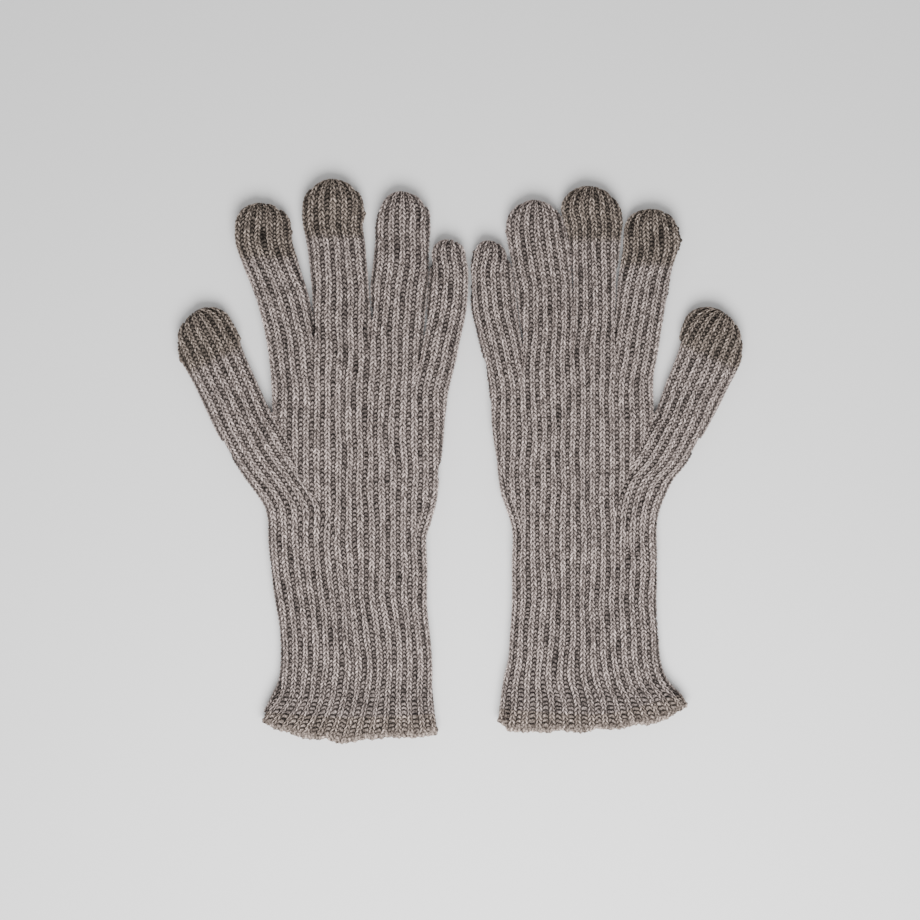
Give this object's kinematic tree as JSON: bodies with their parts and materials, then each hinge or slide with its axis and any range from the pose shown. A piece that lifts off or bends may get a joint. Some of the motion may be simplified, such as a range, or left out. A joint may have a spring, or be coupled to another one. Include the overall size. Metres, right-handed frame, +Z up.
{
  "type": "knitted gloves",
  "caption": "Pair of long-cuffed rib-knit gloves with contrasting touch fingertips; every finger, thumb and cuff folds, and each glove opens at the cuff to take a hand.",
  "frame": {"origin": "middle of the pair's bounding box, on the table that the gloves lie on", "axes": "+Y towards the fingertips, +X from the left-hand glove to the right-hand glove, +Z up out of the palms"},
  "size_m": [0.2817, 0.2806, 0.0125],
  "materials": {
    "body_yarn": "1x1 rib knit in a matt grey-brown marl yarn, slightly hairy",
    "touch_yarn": "the same rib in a darker conductive yarn, matt with a faint sheen",
    "edge_yarn": "knitted edge course, rolled and overlocked in a slightly tan yarn"
  },
  "bodies": {
    "left_hand": {"left_palm_heel": "body_yarn", "left_palm": "body_yarn", "left_knuckle_band": "body_yarn"},
    "left_cuff": {"left_cuff": "body_yarn", "left_cuff_edge": "edge_yarn"},
    "left_thumb_base": {"left_thumb_tube": "body_yarn"},
    "left_thumb_tip": {"left_thumb_cap": "touch_yarn"},
    "left_index_base": {"left_index_root_tube": "body_yarn"},
    "left_index_middle": {"left_index_middle_tube": "body_yarn", "left_index_cap_sleeve": "touch_yarn"},
    "left_index_tip": {"left_index_cap_end": "touch_yarn"},
    "left_middle_base": {"left_middle_root_tube": "body_yarn"},
    "left_middle_middle": {"left_middle_middle_tube": "body_yarn", "left_middle_cap_sleeve": "touch_yarn"},
    "left_middle_tip": {"left_middle_cap_end": "touch_yarn"},
    "left_ring_base": {"left_ring_root_tube": "body_yarn"},
    "left_ring_middle": {"left_ring_middle_tube": "body_yarn"},
    "left_ring_tip": {"left_ring_tip": "body_yarn"},
    "left_little_base": {"left_little_root_tube": "body_yarn"},
    "left_little_middle": {"left_little_middle_tube": "body_yarn"},
    "left_little_tip": {"left_little_tip": "body_yarn"},
    "right_hand": {"right_palm_heel": "body_yarn", "right_palm": "body_yarn", "right_knuckle_band": "body_yarn"},
    "right_cuff": {"right_cuff": "body_yarn", "right_cuff_edge": "edge_yarn"},
    "right_thumb_base": {"right_thumb_tube": "body_yarn"},
    "right_thumb_tip": {"right_thumb_cap": "touch_yarn"},
    "right_index_base": {"right_index_root_tube": "body_yarn"},
    "right_index_middle": {"right_index_middle_tube": "body_yarn", "right_index_cap_sleeve": "touch_yarn"},
    "right_index_tip": {"right_index_cap_end": "touch_yarn"},
    "right_middle_base": {"right_middle_root_tube": "body_yarn"},
    "right_middle_middle": {"right_middle_middle_tube": "body_yarn", "right_middle_cap_sleeve": "touch_yarn"},
    "right_middle_tip": {"right_middle_cap_end": "touch_yarn"},
    "right_ring_base": {"right_ring_root_tube": "body_yarn"},
    "right_ring_middle": {"right_ring_middle_tube": "body_yarn"},
    "right_ring_tip": {"right_ring_tip": "body_yarn"},
    "right_little_base": {"right_little_root_tube": "body_yarn"},
    "right_little_middle": {"right_little_middle_tube": "body_yarn"},
    "right_little_tip": {"right_little_tip": "body_yarn"}
  },
  "joints": [
    {"name": "left_glove_lift", "type": "slide", "parent": "right_hand", "child": "left_hand", "axis": [0, 0, 1], "range_m": [0, 0.06]},
    {"name": "left_wrist_fold", "type": "hinge", "parent": "left_hand", "child": "left_cuff", "pos_m": [-0.05675, -0.0415, 0.0055], "axis": [-1, 0, 0], "range_deg": [-45, 60]},
    {"name": "left_thumb_base_bend", "type": "hinge", "parent": "left_hand", "child": "left_thumb_base", "pos_m": [-0.10875, 0.01695, 0.0055], "axis": [0.9063, 0.4226, 0], "range_deg": [-15, 70]},
    {"name": "left_thumb_tip_bend", "type": "hinge", "parent": "left_thumb_base", "child": "left_thumb_tip", "pos_m": [-0.12122, 0.04369, 0.0055], "axis": [0.9063, 0.4226, 0], "range_deg": [-10, 80]},
    {"name": "left_index_base_bend", "type": "hinge", "parent": "left_hand", "child": "left_index_base", "pos_m": [-0.08835, 0.072, 0.0055], "axis": [1, 0, 0], "range_deg": [-15, 70]},
    {"name": "left_index_middle_bend", "type": "hinge", "parent": "left_index_base", "child": "left_index_middle", "pos_m": [-0.0932, 0.09, 0.0055], "axis": [0.9543, 0.2988, 0], "range_deg": [0, 90]},
    {"name": "left_index_tip_bend", "type": "hinge", "parent": "left_index_middle", "child": "left_index_tip", "pos_m": [-0.09899, 0.109, 0.0055], "axis": [0.9941, 0.1084, 0], "range_deg": [0, 60.01]},
    {"name": "left_middle_base_bend", "type": "hinge", "parent": "left_hand", "child": "left_middle_base", "pos_m": [-0.0603, 0.072, 0.0055], "axis": [1, 0, 0], "range_deg": [-15, 70]},
    {"name": "left_middle_middle_bend", "type": "hinge", "parent": "left_middle_base", "child": "left_middle_middle", "pos_m": [-0.06155, 0.0945, 0.0055], "axis": [0.995, 0.0995, 0], "range_deg": [0, 90]},
    {"name": "left_middle_tip_bend", "type": "hinge", "parent": "left_middle_middle", "child": "left_middle_tip", "pos_m": [-0.06366, 0.118, 0.0055], "axis": [0.9973, 0.0733, 0], "range_deg": [0, 60.01]},
    {"name": "left_ring_base_bend", "type": "hinge", "parent": "left_hand", "child": "left_ring_base", "pos_m": [-0.032, 0.072, 0.0055], "axis": [1, 0, 0], "range_deg": [-15, 70]},
    {"name": "left_ring_middle_bend", "type": "hinge", "parent": "left_ring_base", "child": "left_ring_middle", "pos_m": [-0.03092, 0.093, 0.0055], "axis": [0.9957, -0.0929, 0], "range_deg": [0, 90]},
    {"name": "left_ring_tip_bend", "type": "hinge", "parent": "left_ring_middle", "child": "left_ring_tip", "pos_m": [-0.02947, 0.1135, 0.0055], "axis": [0.9993, -0.0384, 0], "range_deg": [0, 60.01]},
    {"name": "left_little_base_bend", "type": "hinge", "parent": "left_hand", "child": "left_little_base", "pos_m": [-0.00925, 0.058, 0.0055], "axis": [1, 0, 0], "range_deg": [-15, 70]},
    {"name": "left_little_middle_bend", "type": "hinge", "parent": "left_little_base", "child": "left_little_middle", "pos_m": [-0.00704, 0.076, 0.0055], "axis": [0.9969, -0.0792, 0], "range_deg": [0, 90]},
    {"name": "left_little_tip_bend", "type": "hinge", "parent": "left_little_middle", "child": "left_little_tip", "pos_m": [-0.00615, 0.093, 0.0055], "axis": [0.9998, -0.0186, 0], "range_deg": [0, 60.01]},
    {"name": "right_wrist_fold", "type": "hinge", "parent": "right_hand", "child": "right_cuff", "pos_m": [0.06155, -0.0415, 0.0055], "axis": [-1, 0, 0], "range_deg": [-45, 60]},
    {"name": "right_thumb_base_bend", "type": "hinge", "parent": "right_hand", "child": "right_thumb_base", "pos_m": [0.1094, 0.01755, 0.0055], "axis": [0.9135, -0.4067, 0], "range_deg": [-15, 70]},
    {"name": "right_thumb_tip_bend", "type": "hinge", "parent": "right_thumb_base", "child": "right_thumb_tip", "pos_m": [0.12079, 0.04313, 0.0055], "axis": [0.9135, -0.4067, 0], "range_deg": [-10, 80]},
    {"name": "right_index_base_bend", "type": "hinge", "parent": "right_hand", "child": "right_index_base", "pos_m": [0.08985, 0.072, 0.0055], "axis": [1, 0, 0], "range_deg": [-15, 70]},
    {"name": "right_index_middle_bend", "type": "hinge", "parent": "right_index_base", "child": "right_index_middle", "pos_m": [0.09148, 0.087, 0.0055], "axis": [0.9979, -0.0647, 0], "range_deg": [0, 90]},
    {"name": "right_index_tip_bend", "type": "hinge", "parent": "right_index_middle", "child": "right_index_tip", "pos_m": [0.09504, 0.106, 0.0055], "axis": [0.9983, -0.058, 0], "range_deg": [0, 60.01]},
    {"name": "right_middle_base_bend", "type": "hinge", "parent": "right_hand", "child": "right_middle_base", "pos_m": [0.06635, 0.072, 0.0055], "axis": [1, 0, 0], "range_deg": [-15, 70]},
    {"name": "right_middle_middle_bend", "type": "hinge", "parent": "right_middle_base", "child": "right_middle_middle", "pos_m": [0.06664, 0.0935, 0.0055], "axis": [1, -0.0063, 0], "range_deg": [0, 90]},
    {"name": "right_middle_tip_bend", "type": "hinge", "parent": "right_middle_middle", "child": "right_middle_tip", "pos_m": [0.06642, 0.116, 0.0055], "axis": [0.9995, 0.0323, 0], "range_deg": [0, 60.01]},
    {"name": "right_ring_base_bend", "type": "hinge", "parent": "right_hand", "child": "right_ring_base", "pos_m": [0.0431, 0.072, 0.0055], "axis": [1, 0, 0], "range_deg": [-15, 70]},
    {"name": "right_ring_middle_bend", "type": "hinge", "parent": "right_ring_base", "child": "right_ring_middle", "pos_m": [0.04096, 0.092, 0.0055], "axis": [0.9985, 0.0549, 0], "range_deg": [0, 90]},
    {"name": "right_ring_tip_bend", "type": "hinge", "parent": "right_ring_middle", "child": "right_ring_tip", "pos_m": [0.03783, 0.1115, 0.0055], "axis": [0.9988, 0.049, 0], "range_deg": [0, 60.01]},
    {"name": "right_little_base_bend", "type": "hinge", "parent": "right_hand", "child": "right_little_base", "pos_m": [0.019, 0.058, 0.0055], "axis": [1, 0, 0], "range_deg": [-15, 70]},
    {"name": "right_little_middle_bend", "type": "hinge", "parent": "right_little_base", "child": "right_little_middle", "pos_m": [0.01546, 0.076, 0.0055], "axis": [1, 0, 0], "range_deg": [0, 90]},
    {"name": "right_little_tip_bend", "type": "hinge", "parent": "right_little_middle", "child": "right_little_tip", "pos_m": [0.01399, 0.093, 0.0055], "axis": [1, 0, 0], "range_deg": [0, 60.01]}
  ],
  "couplings": [
    {"joint": "left_index_tip_bend", "follows": "left_index_middle_bend", "ratio": 0.6667},
    {"joint": "left_middle_tip_bend", "follows": "left_middle_middle_bend", "ratio": 0.6667},
    {"joint": "left_ring_tip_bend", "follows": "left_ring_middle_bend", "ratio": 0.6667},
    {"joint": "left_little_tip_bend", "follows": "left_little_middle_bend", "ratio": 0.6667},
    {"joint": "right_index_tip_bend", "follows": "right_index_middle_bend", "ratio": 0.6667},
    {"joint": "right_middle_tip_bend", "follows": "right_middle_middle_bend", "ratio": 0.6667},
    {"joint": "right_ring_tip_bend", "follows": "right_ring_middle_bend", "ratio": 0.6667},
    {"joint": "right_little_tip_bend", "follows": "right_little_middle_bend", "ratio": 0.6667}
  ]
}
